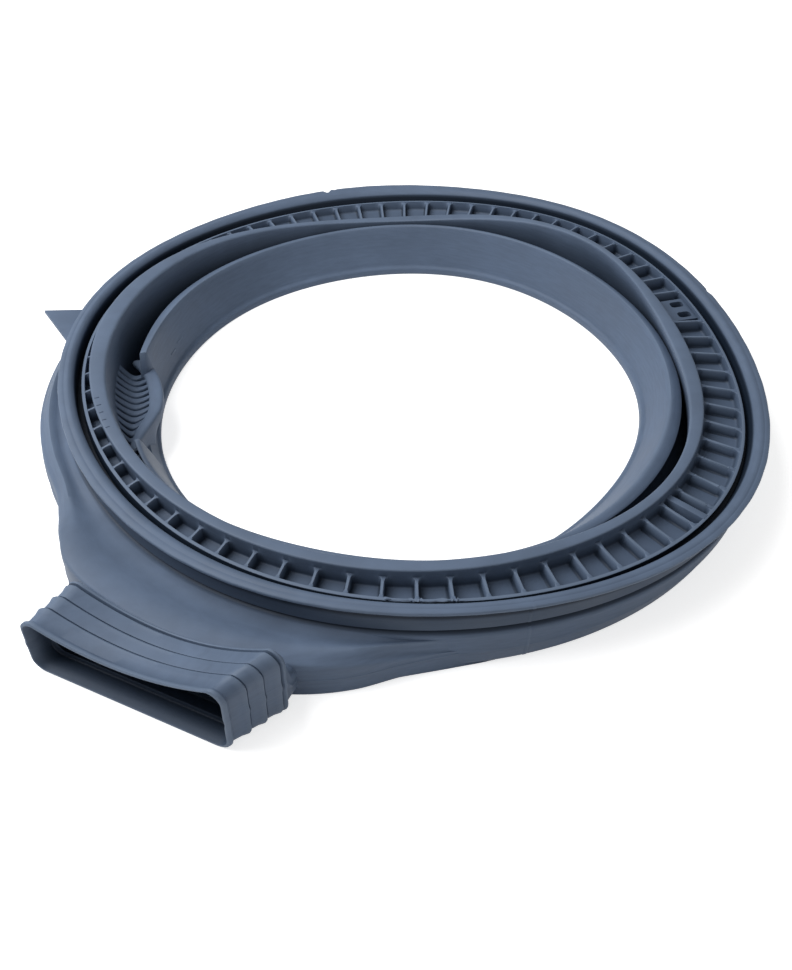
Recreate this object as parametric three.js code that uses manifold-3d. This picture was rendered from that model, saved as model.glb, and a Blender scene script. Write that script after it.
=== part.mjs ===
// Washing machine door seal: one moulded rubber ring with a ribbed channel,
// a sleeve towards the drum, an air grille and a bellows duct.
// Millimetres, +Z up. The ring lies on its tub side.
import * as THREE from 'three';
import { mergeVertices } from 'three/addons/utils/BufferGeometryUtils.js';
import Module from 'manifold-3d';

const wasm = await Module();
wasm.setup();

// Ring, sizes across it. Heights count up from the outer edge of the flange.
const flangeRadius = 200;
const flangeWidth = 9.6;
const flangeCrown = 1.4;
const flangeEdge = 1.7;
const flangeRoot = 3.2;
const neckInset = 3.5;
const bodyInset = 1.5;
const bodyDepth = 40;
const bodyShoulder = 13.5;
const bodyWall = 4.2;
const bodyFoot = 2.4;
const grooveWidth = 2.7;
const grooveDepth = 10;
const thinWall = 1.7;
const thinWallDrop = 3.7;
const channelWidth = 14;
const channelDrop = 10;
const humpWidth = 7;
const humpRise = 2;
const foldWidth = 8.9;
const rimThickness = 2.6;
const rimDrop = 8;
const sleeveWall = 3;
const lipInset = 10.2;
const lipHeight = 5.5;
const lipStep = 1.2;
const webThickness = 2.8;
const baseThickness = 3.6;
const edgeRound = 1.1;
const cavityRound = 2;

// Ribs across the channel
const ribPitchCount = 72;
const ribFirst = 131.6;
const ribThickness = 1.6;
const ribMissing = 23;
const ribThickPlace = 34.5;
const ribThickThickness = 4;
const ribTopDrop = 0.35;
const ribRise = 1.2;

// Raised block with two drain holes, in the double cell of the missing rib
const drainBlockLength = 13;
const drainBlockWidth = 8;
const drainBlockRise = 3.5;
const drainHoleLength = 4.2;
const drainHoleWidth = 4.6;
const drainHoleGap = 2.4;

// Air chamber outside the ring: angle, reach beyond the body, drop of its shoulder
const chamberStations = [
  [164, -2, 15],
  [172, 3.5, 16],
  [180, 10, 18],
  [192, 13.5, 21],
  [204, 13, 21],
  [211, 12.5, 20.5],
  [216, 17, 19],
  [221, 24, 15],
  [227, 30, 14],
  [240, 28.5, 15],
  [252, 24.5, 16],
  [258, 20.5, 20],
  [264, 14.5, 24],
  [270, 5, 25],
  [277, -2, 24],
];
const chamberSteps = 34;
const chamberCrown = 1.5;
const chamberValley = 1.2;
const chamberLean = 2;
const chamberWall = 3.2;

// Bellows duct: its mouth is a flat rim on a plane that stands off the body
const ductFacing = 246.7;
const ductStandOff = 54.5;
const ductRootStandOff = 8;
const mouthOffset = -22.5;
const rearOffset = -12.6;
const mouthWidth = 100.6;
const rearWidth = 108;
const ductWall = 3.2;
const mouthHeightLeft = 30.5;
const mouthHeightRight = 36.5;
const rearHeightLeft = 33;
const rearHeightRight = 39;
const rootHeight = 21;
const mouthSag = 8.7;
const rearSag = 13.6;
const rootSag = 2;
const ductCorner = 6;
const ductTopSteps = 10;
const ridgeRise = 1.8;
const ridgeHalf = 1.6;
const ridgePlaces = [11.5, 19.5, 27];
const rimBand = 3.4;
const mouthLip = 2.2;
const passageOverlap = 8;

// Pointer tab on the flange: angles and reach of its tip and root
const tabTipAngle = 174.6;
const tabReach = 22;
const tabRootAngles = [173.2, 183.8];
const tabThickness = 2;
const tabDrop = 0.8;
const tabOverlap = 2;

// Air grille between hump and sleeve: angle, width from the hump
const grilleStations = [
  [180.5, 9],
  [183, 13.5],
  [187, 17.5],
  [192, 20.5],
  [197, 21],
  [200, 18],
  [203, 13],
  [208, 4],
];
const grilleSteps = 14;
const grilleEdgeDrop = 7;
const grilleValleyDrop = 13;
const grilleInnerDrop = 9;
const grilleLeafDrop = 12;
const grilleWall = 2.4;
const grilleLeast = 8;
const slotCount = 11;
const slotFirst = 184.6;
const slotPitch = 1.95;
const slotWidth = 2.2;
const slotDepth = 16;
const slotMargin = 3;
const windowHeight = 15;
const windowSteps = 4;

// How the soft ring lies: waves round the ring, cosine and sine part of each order
const flangeWave = [[0.4, 1.2], [-2.7, -4], [1.7, -3.2], [-0.9, 0], [-0.7, 0.1]];
const thinWallWave = [[0.8, 0], [-2.8, -4.4], [0.7, -2.6], [-0.9, -0.1], [-0.8, -0.3]];
const humpOuterWave = [[-7.9, -2.5], [-0.5, -3], [-0.5, -0.8], [-1.1, -0.9], [0.1, -0.8]];
const humpInnerWave = [[-7.1, -2.3], [-1.8, -2.8], [-0.2, -0.9], [-2.4, -0.4], [-0.5, -1.2]];
const rimWave = [[-4.4, -1.2], [-3.1, -0.8], [2.9, -1.6], [0, 0.8], [0.8, 0.1]];
const lipWave = [[-3.3, -1.1], [-2.2, 4.6], [0.2, 0.6], [0.6, -0.1], [0.7, -0.3]];
const heightWave = [[0, 0], [2.95, 4.5], [-2.5, 1.4]];
const humpLeanDepth = 34;
const waveFadeStart = 222;
const waveFadeEnd = 234;

// Where the seal sags away from the round, at the far side: middle and spread in degrees
const sagPlace = [92, 30];
const humpSag = 4.5;
const rimLift = 2.5;
const curlPlace = [103, 22];
const curlLift = 2.6;

// Radii that follow from the sizes above
const bodyRadius = flangeRadius - bodyInset;
const neckRadius = flangeRadius - neckInset;
const grooveOuter = flangeRadius - flangeWidth;
const thinWallOuter = grooveOuter - grooveWidth;
const thinWallInner = thinWallOuter - thinWall;
const humpOuter = thinWallInner - channelWidth;
const humpInner = humpOuter - humpWidth;
const rimOuter = humpInner - foldWidth;
const rimInner = rimOuter - rimThickness;
const lipRadius = rimInner - lipInset;
const base = -bodyDepth;
const foldFloor = base + baseThickness;
const sleeveFootInner = lipRadius + lipStep + 1.5;
const sleeveFootOuter = sleeveFootInner + sleeveWall;
const webOuter = humpInner + webThickness;
const cavityOuter = bodyRadius - bodyWall;
const cavityCeiling = -(channelDrop + webThickness + 0.6);
const ductReach = bodyRadius + ductStandOff;
const ductLength = ductStandOff - ductRootStandOff;

const degree = Math.PI / 180;
const quarterTurn = 90;
const ribPitch = 360 / ribPitchCount;

function mix(a, b, t) {
  return a + (b - a) * t;
}

function clamp01(t) {
  return Math.min(1, Math.max(0, t));
}

// A closed surface with merged corners becomes a solid for joining and cutting.
function solid(geometry) {
  geometry.deleteAttribute('normal');
  geometry.deleteAttribute('uv');
  const merged = mergeVertices(geometry, 1e-4);
  const vertProperties = new Float32Array(merged.attributes.position.array);
  const triVerts = new Uint32Array(merged.index.array);
  return new wasm.Manifold(new wasm.Mesh({ numProp: 3, vertProperties, triVerts }));
}

// Corners and triangles as a geometry whose faces point out.
function facedOut(corners, triangles) {
  let volume = 0;
  for (const [a, b, c] of triangles) {
    volume += corners[a].dot(corners[b].clone().cross(corners[c]));
  }
  const index = triangles.flatMap(([a, b, c]) => (volume < 0 ? [a, c, b] : [a, b, c]));
  const geometry = new THREE.BufferGeometry().setFromPoints(corners);
  geometry.setIndex(index);
  return geometry;
}

// Skins a row of outlines with equal point counts; place(i, point) sets each in space.
function loft(outlines, place) {
  const size = outlines[0].length;
  const last = outlines.length - 1;
  const corners = outlines.flatMap((outline, i) => outline.map((point) => place(i, point)));
  const triangles = [];
  for (let i = 0; i < last; i += 1) {
    for (let j = 0; j < size; j += 1) {
      const a = i * size + j;
      const b = i * size + ((j + 1) % size);
      triangles.push([a, b, b + size], [a, b + size, a + size]);
    }
  }
  const windings = THREE.ShapeUtils.area(outlines[0]) > 0;
  for (const [a, b, c] of THREE.ShapeUtils.triangulateShape(outlines[0], [])) {
    triangles.push(windings ? [a, c, b] : [a, b, c]);
  }
  for (const [a, b, c] of THREE.ShapeUtils.triangulateShape(outlines[last], [])) {
    const shift = last * size;
    triangles.push(windings ? [a + shift, b + shift, c + shift] : [a + shift, c + shift, b + shift]);
  }
  return solid(facedOut(corners, triangles));
}

function onRing(angle, radius, height) {
  return new THREE.Vector3(radius * Math.cos(angle), radius * Math.sin(angle), height);
}

// Turns a closed profile of [radius, height] pairs round the axis, on the ribs' angles.
function turned(profile) {
  const points = profile.map(([radius, height]) => new THREE.Vector2(radius, height));
  points.push(points[0].clone());
  const start = (ribFirst + quarterTurn) * degree;
  const geometry = new THREE.LatheGeometry(points, ribPitchCount, start, 2 * Math.PI);
  geometry.rotateX(Math.PI / 2);
  return solid(facedOutCopy(geometry));
}

function facedOutCopy(geometry) {
  geometry.deleteAttribute('normal');
  geometry.deleteAttribute('uv');
  const merged = mergeVertices(geometry, 1e-3);
  const place = merged.attributes.position;
  const corners = [];
  for (let i = 0; i < place.count; i += 1) {
    corners.push(new THREE.Vector3().fromBufferAttribute(place, i));
  }
  const order = merged.index.array;
  const triangles = [];
  for (let i = 0; i < order.length; i += 3) {
    const face = [order[i], order[i + 1], order[i + 2]];
    if (new Set(face).size === 3) triangles.push(face);
  }
  return facedOut(corners, triangles);
}

// Section of the ring, outside first, without the hollow under it.
function ringSection() {
  const channelFloor = -channelDrop;
  return [
    [bodyRadius - bodyFoot, base],
    [bodyRadius, base + bodyFoot],
    [bodyRadius, -bodyShoulder - 1],
    [neckRadius, -bodyShoulder + 1],
    [neckRadius, -flangeRoot],
    [flangeRadius, -flangeEdge],
    [flangeRadius, 0],
    [mix(grooveOuter, flangeRadius, 0.5), flangeCrown],
    [grooveOuter + edgeRound, flangeCrown * 0.7],
    [grooveOuter, -edgeRound],
    [grooveOuter - 0.2, -grooveDepth],
    [thinWallOuter + 0.2, -grooveDepth],
    [thinWallOuter - 0.2, -thinWallDrop],
    [thinWallInner + 0.2, -thinWallDrop],
    [thinWallInner - 0.3, channelFloor + 0.2],
    [humpOuter + 1, channelFloor],
    [humpOuter, humpRise - 1.6],
    [humpOuter - edgeRound, humpRise],
    [humpInner + edgeRound, humpRise - 0.1],
    [humpInner, humpRise - 1.8],
    [humpInner, foldFloor],
    [sleeveFootOuter + 1, foldFloor],
    [rimOuter, -rimDrop - 0.2],
    [rimInner, -rimDrop],
    [sleeveFootInner, base + lipHeight + 0.6],
    [lipRadius + 0.6, base + lipHeight - 0.8],
    [lipRadius, base + 1],
    [lipRadius + 1, base],
  ];
}

// Hollow under the channel, open towards the tub.
function cavitySection() {
  const under = base - cavityRound;
  return [
    [webOuter, under],
    [cavityOuter, under],
    [cavityOuter, cavityCeiling - cavityRound],
    [cavityOuter - cavityRound, cavityCeiling],
    [webOuter + cavityRound, cavityCeiling],
    [webOuter, cavityCeiling - cavityRound],
  ];
}

// A rib is a thin plate from the thin wall to the hump, its foot in the channel floor.
function rib(place, thickness) {
  const outer = thinWallInner + thinWall / 2;
  const inner = humpOuter - 0.8;
  const top = -thinWallDrop - ribTopDrop;
  const foot = -channelDrop - webThickness / 2;
  const side = new THREE.Shape([
    new THREE.Vector2(inner, foot),
    new THREE.Vector2(outer, foot),
    new THREE.Vector2(outer, top),
    new THREE.Vector2(inner, top + ribRise),
  ]);
  const geometry = new THREE.ExtrudeGeometry(side, { depth: thickness, bevelEnabled: false });
  geometry.rotateX(Math.PI / 2);
  geometry.translate(0, thickness / 2, 0);
  geometry.rotateZ((ribFirst - place * ribPitch) * degree);
  return solid(geometry);
}

function ribs() {
  const places = Array.from({ length: ribPitchCount }, (_, i) => i).filter((i) => i !== ribMissing);
  return [...places.map((i) => rib(i, ribThickness)), rib(ribThickPlace, ribThickThickness)];
}

// A box on the ring: centre radius and height, size along the ring, across it and up.
function boxOnRing(angle, radius, height, along, across, tall) {
  const geometry = new THREE.BoxGeometry(across, along, tall);
  geometry.translate(radius, 0, height);
  geometry.rotateZ(angle * degree);
  return solid(geometry);
}

// Block in the double cell, and the two holes that drain the channel through it.
const drainAngle = ribFirst - ribMissing * ribPitch;
const drainRadius = thinWallInner - channelWidth / 2;

function drainBlock() {
  const tall = drainBlockRise + webThickness / 2;
  const middle = -channelDrop + drainBlockRise - tall / 2;
  return boxOnRing(drainAngle, drainRadius, middle, drainBlockLength, drainBlockWidth, tall);
}

function drainHoles() {
  const tall = drainBlockRise + 3 * webThickness + 4;
  const aside = (drainHoleLength + drainHoleGap) / 2 / drainRadius / degree;
  return [-aside, aside].map((turn) =>
    boxOnRing(drainAngle + turn, drainRadius, -channelDrop, drainHoleLength, drainHoleWidth, tall));
}

// Air chamber: radial sections on a smooth curve through the stations.
function chamberCurve() {
  const points = chamberStations.map(([angle, beyond, drop]) => {
    return new THREE.Vector3(angle, bodyRadius + beyond, -drop);
  });
  return new THREE.CatmullRomCurve3(points).getPoints(chamberSteps);
}

function chamber(inset) {
  const inner = inset > 0 ? cavityOuter - bodyWall : cavityOuter + bodyWall / 4;
  const floor = inset > 0 ? base + baseThickness : base;
  const start = bodyRadius - chamberLean;
  const top = -bodyShoulder - inset;
  const least = bodyRadius + chamberLean;
  const stations = chamberCurve().filter((station) => inset === 0 || station.y > least);
  const outlines = stations.map((station) => {
    const reach = Math.max(station.y - inset, start + chamberLean / 2);
    const shoulder = station.z - inset;
    const corner = Math.min(chamberLean, (reach - start) / 4);
    const full = clamp01((reach - start) / chamberWall / 3);
    return [
      [inner, top],
      [start, top],
      [mix(start, reach, 0.3), mix(top, shoulder, 0.3) - chamberValley * full],
      [mix(start, reach, 0.65), mix(top, shoulder, 0.4) + chamberCrown * full],
      [reach - corner, shoulder],
      [reach, shoulder - corner],
      [reach, floor + corner],
      [reach - corner, floor],
      [inner, floor],
    ].map(([radius, height]) => new THREE.Vector2(radius, height));
  });
  return loft(outlines, (i, point) => onRing(stations[i].x * degree, point.x, point.y));
}

// Bellows duct, drawn looking into its mouth: x along the mouth, y up.
const outward = new THREE.Vector3(Math.cos(ductFacing * degree), Math.sin(ductFacing * degree), 0);
const alongMouth = new THREE.Vector3(-outward.y, outward.x, 0);

function ductOutline(depth, swell) {
  const rear = ridgePlaces[2] + ridgeHalf;
  const back = clamp01(depth / rear);
  const root = clamp01((depth - rear) / (ductLength - rear));
  const left = mix(mix(mouthHeightLeft, rearHeightLeft, back), rootHeight, root);
  const right = mix(mix(mouthHeightRight, rearHeightRight, back), rootHeight, root);
  const sag = mix(mix(mouthSag, rearSag, back), rootSag, root);
  const half = mix(mouthWidth, rearWidth, back) / 2 + swell;
  const offset = mix(mouthOffset, rearOffset, back);
  const floor = base + ridgeRise - swell;
  const round = ductCorner + swell / 2;
  const halfTop = half - round / 3;
  const top = (across) => {
    const level = mix(left, right, (across + 1) / 2) - sag * (1 - across * across);
    return base + ridgeRise + swell + level;
  };
  const points = [
    [-half + round / 2, floor],
    [half - round / 2, floor],
    [half, floor + round / 2],
    [half, top(1) - round],
    [halfTop, top(1) - round / 3],
  ];
  for (let i = 1; i < ductTopSteps; i += 1) {
    const across = 1 - (2 * i) / ductTopSteps;
    points.push([across * halfTop, top(across)]);
  }
  points.push([-halfTop, top(-1) - round / 3]);
  points.push([-half, top(-1) - round]);
  points.push([-half, floor + round / 2]);
  return points.map(([x, y]) => new THREE.Vector2(x + offset, y));
}

// Depth behind the mouth and swell of the wall: the mouth rim, then one bead per ridge.
function bellowsStations() {
  const stations = [[0, ridgeRise], [rimBand, ridgeRise], [rimBand + ridgeHalf / 3, 0]];
  for (const place of ridgePlaces) {
    stations.push([place - 2 * ridgeHalf, ridgeRise / 4], [place - ridgeHalf / 2, ridgeRise]);
    stations.push([place + ridgeHalf / 2, ridgeRise], [place + ridgeHalf, 0]);
  }
  stations.push([ductLength, 0]);
  return stations;
}

// The passage has a smaller opening at the mouth rim, and runs on into the air chamber.
function passageStations() {
  const [, , ...bellows] = bellowsStations();
  const throat = ridgeRise - ductWall - mouthLip;
  const walls = bellows.map(([depth, swell]) => [depth, swell - ductWall]);
  walls[0][0] += ridgeHalf / 2;
  walls[walls.length - 1][0] += passageOverlap;
  return [[-mouthLip, throat], [rimBand, throat], ...walls];
}

function duct(stations) {
  const outlines = stations.map(([depth, swell]) => ductOutline(Math.max(0, depth), swell));
  return loft(outlines, (i, point) => {
    const mouth = outward.clone().multiplyScalar(ductReach - stations[i][0]);
    return mouth.addScaledVector(alongMouth, point.x).setZ(point.y);
  });
}

// Flat pointer that grows out of the flange.
function tab() {
  const root = flangeRadius - tabOverlap;
  const corners = [
    [tabTipAngle, flangeRadius + tabReach],
    [tabRootAngles[1], root],
    [(tabRootAngles[0] + tabRootAngles[1]) / 2, root - tabOverlap],
    [tabRootAngles[0], root],
  ].map(([angle, radius]) => onRing(angle * degree, radius, 0));
  const outline = corners.map((corner) => new THREE.Vector2(corner.x, corner.y));
  const heights = [-tabDrop - tabThickness, -tabDrop];
  return loft([outline, outline], (i, point) => new THREE.Vector3(point.x, point.y, heights[i]));
}

// Air grille: a hollow shelf from the hump to its own curved face over the sleeve.
function grilleCurve(steps) {
  const points = grilleStations.map(([angle, width]) => {
    return new THREE.Vector3(angle, humpInner - width, 0);
  });
  return new THREE.CatmullRomCurve3(points).getPoints(steps);
}

function grille(inset) {
  const outer = humpInner + webThickness / 2 - inset / 4;
  const floor = foldFloor - (inset > 0 ? 0 : baseThickness / 3);
  const wide = (station) => inset === 0 || outer - station.y > grilleLeast;
  const stations = grilleCurve(grilleSteps).filter(wide);
  const outlines = stations.map((station) => {
    const reach = Math.min(station.y + inset, outer - grilleWall);
    const foot = Math.max(reach, sleeveFootInner + inset + grilleWall / 4);
    return [
      [outer, -grilleEdgeDrop - inset],
      [mix(outer, reach, 0.4), -grilleValleyDrop - inset],
      [mix(outer, reach, 0.9), -grilleInnerDrop - inset],
      [reach, -grilleLeafDrop - inset],
      [mix(reach, foot, 0.9), base + lipHeight + grilleWall + inset],
      [outer - grilleWall / 2, floor],
      [outer, floor],
    ].map(([radius, height]) => new THREE.Vector2(radius, height));
  });
  return loft(outlines, (i, point) => onRing(stations[i].x * degree, point.x, point.y));
}

function grilleSlots() {
  const curve = grilleCurve(slotCount * grilleSteps);
  return Array.from({ length: slotCount }, (_, i) => {
    const angle = slotFirst + i * slotPitch;
    const nearest = curve.reduce((a, b) => (Math.abs(a.x - angle) < Math.abs(b.x - angle) ? a : b));
    const inner = nearest.y + slotMargin;
    const outer = humpInner - slotMargin / 3;
    const middle = (inner + outer) / 2;
    return boxOnRing(angle, middle, -grilleValleyDrop, slotWidth, outer - inner, slotDepth);
  });
}

// Window behind the grille, from the hollow under the channel.
function grilleWindow() {
  const first = slotFirst + slotPitch;
  const last = slotFirst + (slotCount - 3) * slotPitch;
  const sill = foldFloor + baseThickness;
  const outline = [
    [humpInner - webThickness, sill],
    [webOuter + webThickness, sill],
    [webOuter + webThickness, sill + windowHeight],
    [humpInner - webThickness, sill + windowHeight],
  ].map(([radius, height]) => new THREE.Vector2(radius, height));
  const outlines = Array.from({ length: windowSteps + 1 }, () => outline);
  const angle = (i) => mix(first, last, i / windowSteps) * degree;
  return loft(outlines, (i, point) => onRing(angle(i), point.x, point.y));
}

function wave(parts, angle) {
  return parts.reduce((sum, [cosine, sine], i) => {
    const turn = (i + 1) * angle;
    return sum + cosine * Math.cos(turn) + sine * Math.sin(turn);
  }, 0);
}

// One at the place's middle, and nothing well outside its spread.
function bump([middle, spread], angle) {
  const away = angle - middle * degree;
  const turn = Math.atan2(Math.sin(away), Math.cos(away));
  return Math.exp(-((turn / degree / spread) ** 2));
}

// Moves a point of the round ring to where the soft seal lies; the base stays flat.
function settle(point) {
  const radius = Math.hypot(point.x, point.y);
  const angle = Math.atan2(point.y, point.x);
  const raised = Math.max(0, point.z - base) / bodyDepth;
  const lean = Math.max(0, point.z + humpLeanDepth) / humpLeanDepth;
  const up = clamp01((point.z - base) / (bodyDepth - rimDrop));
  const sag = bump(sagPlace, angle);
  const sleeve = mix(wave(lipWave, angle), wave(rimWave, angle), up);
  const thin = wave(thinWallWave, angle) * raised;
  const curl = curlLift * bump(curlPlace, angle) * raised;
  const knots = [
    [mix(sleeveFootOuter, rimOuter, up), sleeve, rimLift * sag * up],
    [humpInner, wave(humpInnerWave, angle) * lean, -humpSag * sag * lean],
    [humpOuter, wave(humpOuterWave, angle) * lean, -humpSag * sag * lean],
    [thinWallInner, thin, 0],
    [thinWallOuter, thin, 0],
    [flangeRadius, wave(flangeWave, angle) * raised, curl],
  ];
  let [, shift, lift] = knots[0];
  for (let i = 1; i < knots.length; i += 1) {
    const [near, far] = [knots[i - 1], knots[i]];
    const across = clamp01((radius - near[0]) / (far[0] - near[0]));
    if (across > 0) shift = mix(near[1], far[1], across);
    if (across > 0) lift = mix(near[2], far[2], across);
  }
  const fade = 1 - clamp01((radius - waveFadeStart) / (waveFadeEnd - waveFadeStart));
  const scale = (radius + shift * fade) / radius;
  const height = point.z + (wave(heightWave, angle) * raised + lift) * fade;
  point.set(point.x * scale, point.y * scale, height);
}

function build() {
  let body = turned(ringSection()).add(chamber(0)).add(duct(bellowsStations())).add(tab()).add(grille(0));
  body = body.subtract(turned(cavitySection()));
  body = body.subtract(chamber(chamberWall)).subtract(duct(passageStations()));
  body = body.subtract(grille(grilleWall)).subtract(grilleWindow());
  for (const slot of grilleSlots()) body = body.subtract(slot);
  for (const plate of ribs()) body = body.add(plate);
  body = body.add(drainBlock());
  for (const hole of drainHoles()) body = body.subtract(hole);
  return body;
}

// The finished body as a mesh, standing with the middle of its base box at the origin.
function sealGeometry() {
  const mesh = build().getMesh();
  const geometry = new THREE.BufferGeometry();
  const corners = [];
  for (let i = 0; i < mesh.vertProperties.length; i += mesh.numProp) {
    corners.push(new THREE.Vector3().fromArray(mesh.vertProperties, i));
  }
  corners.forEach(settle);
  geometry.setFromPoints(corners);
  geometry.setIndex(Array.from(mesh.triVerts));
  geometry.computeBoundingBox();
  const middle = geometry.boundingBox.getCenter(new THREE.Vector3());
  geometry.translate(-middle.x, -middle.y, bodyDepth);
  geometry.computeVertexNormals();
  return geometry;
}

const rubber = new THREE.MeshStandardMaterial({ color: 0x5f6a82, roughness: 0.62, metalness: 0 });

const seal = new THREE.Mesh(sealGeometry(), rubber);
seal.name = 'door_seal';

const group = new THREE.Group();
group.add(seal);

export default group;
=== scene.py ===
# Washing machine door seal: the looks of the moulded rubber ring, its ribbed channel,
# sleeve, air grille, air chamber and bellows duct.
import math

import bmesh
import bpy
import numpy as np
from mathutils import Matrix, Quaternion, Vector


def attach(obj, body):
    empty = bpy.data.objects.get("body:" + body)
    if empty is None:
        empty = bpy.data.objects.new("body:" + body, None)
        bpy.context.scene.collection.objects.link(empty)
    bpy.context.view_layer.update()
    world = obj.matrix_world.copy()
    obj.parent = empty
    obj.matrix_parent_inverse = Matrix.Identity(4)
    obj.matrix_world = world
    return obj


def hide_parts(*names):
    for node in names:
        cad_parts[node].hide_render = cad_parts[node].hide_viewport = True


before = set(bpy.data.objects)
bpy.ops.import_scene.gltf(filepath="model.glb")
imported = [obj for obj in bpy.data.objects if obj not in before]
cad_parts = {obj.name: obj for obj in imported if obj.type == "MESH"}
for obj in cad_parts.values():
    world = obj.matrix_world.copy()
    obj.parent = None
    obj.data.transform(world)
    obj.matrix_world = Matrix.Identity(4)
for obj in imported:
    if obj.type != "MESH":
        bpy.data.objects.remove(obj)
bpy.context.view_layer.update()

# Pieces are modelled in millimetres round the ring's axis, with height 0 at the flange's
# outer edge, and then laid into the frame in metres.
MM = 0.001
RING_AXIS = Vector((9.003, 18.708))
BODY_DEPTH = 40.0
BASE = -BODY_DEPTH

# Sizes across the ring
FLANGE_RADIUS = 200.0
FLANGE_WIDTH = 9.6
FLANGE_CROWN = 1.25
FLANGE_EDGE = 1.7
FLANGE_ROOT = 3.2
NECK_INSET = 3.5
BODY_INSET = 1.5
BODY_WALL = 4.2
BODY_FOOT = 2.4
SHOULDER_SEEN = 17.0
PARTING_HEIGHT = 10.5
CREASE = 1.4
GROOVE_WIDTH = 2.7
GROOVE_DEPTH = 10.0
THIN_WALL = 1.7
THIN_WALL_DROP = 3.7
CHANNEL_WIDTH = 14.0
CHANNEL_DROP = 10.0
HUMP_WIDTH = 7.0
HUMP_RISE = 1.98
FOLD_WIDTH = 8.9
RIM_THICKNESS = 2.6
RIM_DROP = 8.0
SLEEVE_WALL = 3.0
LIP_INSET = 10.2
LIP_HEIGHT = 5.5
LIP_STEP = 1.2
WEB_THICKNESS = 2.8
BASE_THICKNESS = 3.6

# Radii that follow from those sizes
BODY_RADIUS = FLANGE_RADIUS - BODY_INSET
NECK_RADIUS = FLANGE_RADIUS - NECK_INSET
GROOVE_OUTER = FLANGE_RADIUS - FLANGE_WIDTH
THIN_WALL_OUTER = GROOVE_OUTER - GROOVE_WIDTH
THIN_WALL_INNER = THIN_WALL_OUTER - THIN_WALL
HUMP_OUTER = THIN_WALL_INNER - CHANNEL_WIDTH
HUMP_INNER = HUMP_OUTER - HUMP_WIDTH
RIM_OUTER = HUMP_INNER - FOLD_WIDTH
RIM_INNER = RIM_OUTER - RIM_THICKNESS
LIP_RADIUS = RIM_INNER - LIP_INSET
FOLD_FLOOR = BASE + BASE_THICKNESS
SLEEVE_FOOT_INNER = LIP_RADIUS + LIP_STEP + 1.5
SLEEVE_FOOT_OUTER = SLEEVE_FOOT_INNER + SLEEVE_WALL
WEB_OUTER = HUMP_INNER + WEB_THICKNESS
CAVITY_OUTER = BODY_RADIUS - BODY_WALL
CAVITY_CEILING = -(CHANNEL_DROP + WEB_THICKNESS + 0.6)

# Ribs across the channel
RIB_PITCHES = 72
RIB_FIRST = 131.6
RIB_PITCH = 360 / RIB_PITCHES
RIB_MISSING = 23
RIB_TOP_DROP = 0.35
RIB_RISE = 1.2
RIB_CORNER = 2.0
RIB_HALF = 0.9
CHANNEL_MIDDLE = THIN_WALL_INNER - CHANNEL_WIDTH / 2
# What a point in the double cell counts as its distance to a rib
NO_RIB_NEAR = 15.0
# Distance from a rib's middle, and how much of the rib's height stands there
RIB_SIDE = [(0.5, 1.0), (0.85, 0.95), (1.05, 0.07), (1.6, 0.0), (2.5, 0.0), (4.6, 0.0)]

# A thicker rib between two others: its place in pitches, and its size
THICK_RIB_PLACE = 34.5
THICK_RIB_SIZE = (CHANNEL_WIDTH + 1.4, 4.0, 8.0)
THICK_RIB_ROUNDING = 0.5

# Raised block with two drain holes, in the double cell of the missing rib
DRAIN_ANGLE = RIB_FIRST - RIB_MISSING * RIB_PITCH
DRAIN_RADIUS = CHANNEL_MIDDLE + 0.6
DRAIN_BLOCK = (12.0, 21.0, 4.0)
DRAIN_HOLE = (6.8, 6.2)
DRAIN_HOLE_GAP = 4.4
DRAIN_SHIFT = 1.5
DRAIN_HOLE_ROUNDING = 1.6
DRAIN_HOLE_LIP = 0.4
DRAIN_HOLE_DEPTH = 2.2

# How the soft ring lies: waves round the ring, cosine and sine part of each order
FLANGE_WAVE = [(0.4, 1.2), (-2.7, -4), (1.7, -3.2), (-0.9, 0), (-0.7, 0.1)]
THIN_WALL_WAVE = [(0.8, 0), (-2.8, -4.4), (0.7, -2.6), (-0.9, -0.1), (-0.8, -0.3)]
HUMP_OUTER_WAVE = [(-7.9, -2.5), (-0.5, -3), (-0.5, -0.8), (-1.1, -0.9), (0.1, -0.8)]
HUMP_INNER_WAVE = [(-7.1, -2.3), (-1.8, -2.8), (-0.2, -0.9), (-2.4, -0.4), (-0.5, -1.2)]
RIM_WAVE = [(-4.4, -1.2), (-3.1, -0.8), (2.9, -1.6), (0, 0.8), (0.8, 0.1)]
LIP_WAVE = [(-3.3, -1.1), (-2.2, 4.6), (0.2, 0.6), (0.6, -0.1), (0.7, -0.3)]
HEIGHT_WAVE = [(0, 0), (2.95, 4.5), (-2.5, 1.4)]
HUMP_LEAN_DEPTH = 34.0
WAVE_FADE = (222.0, 234.0)
# Where the seal sags away from the round, at the far side: middle and spread in degrees
SAG_PLACE = (92, 30)
HUMP_SAG = 4.5
RIM_LIFT = 2.5
CURL_PLACE = (103, 22)
CURL_LIFT = 2.4
# Where the sleeve's rim is rolled outward: middle and spread in degrees, how far
RIM_ROLLS = [((154, 26), 5.5), ((345, 42), 5.2)]
RIM_ROLL_DROP = 3.4
RIM_ROLL_FULL = 5
# Where the whole rim leans out to the hump
RIM_LEANS = [((300, 34), 4.6), ((222, 22), 5.5)]

# Small marks: angle, spread and depth of the flange edge's nicks, and its faint ripple
FLANGE_NICKS = [(107.3, 0.8, 3.2), (18.0, 1.0, 1.0), (105.6, 0.5, 0.8)]
NICK_REACH = 3.0
EDGE_RIPPLE = 0.1
EDGE_RIPPLE_ORDERS = (17, 61)
# Moulding seam up the outer side
SEAM_ANGLE = 286.6
SEAM_RISE = 0.22
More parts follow.
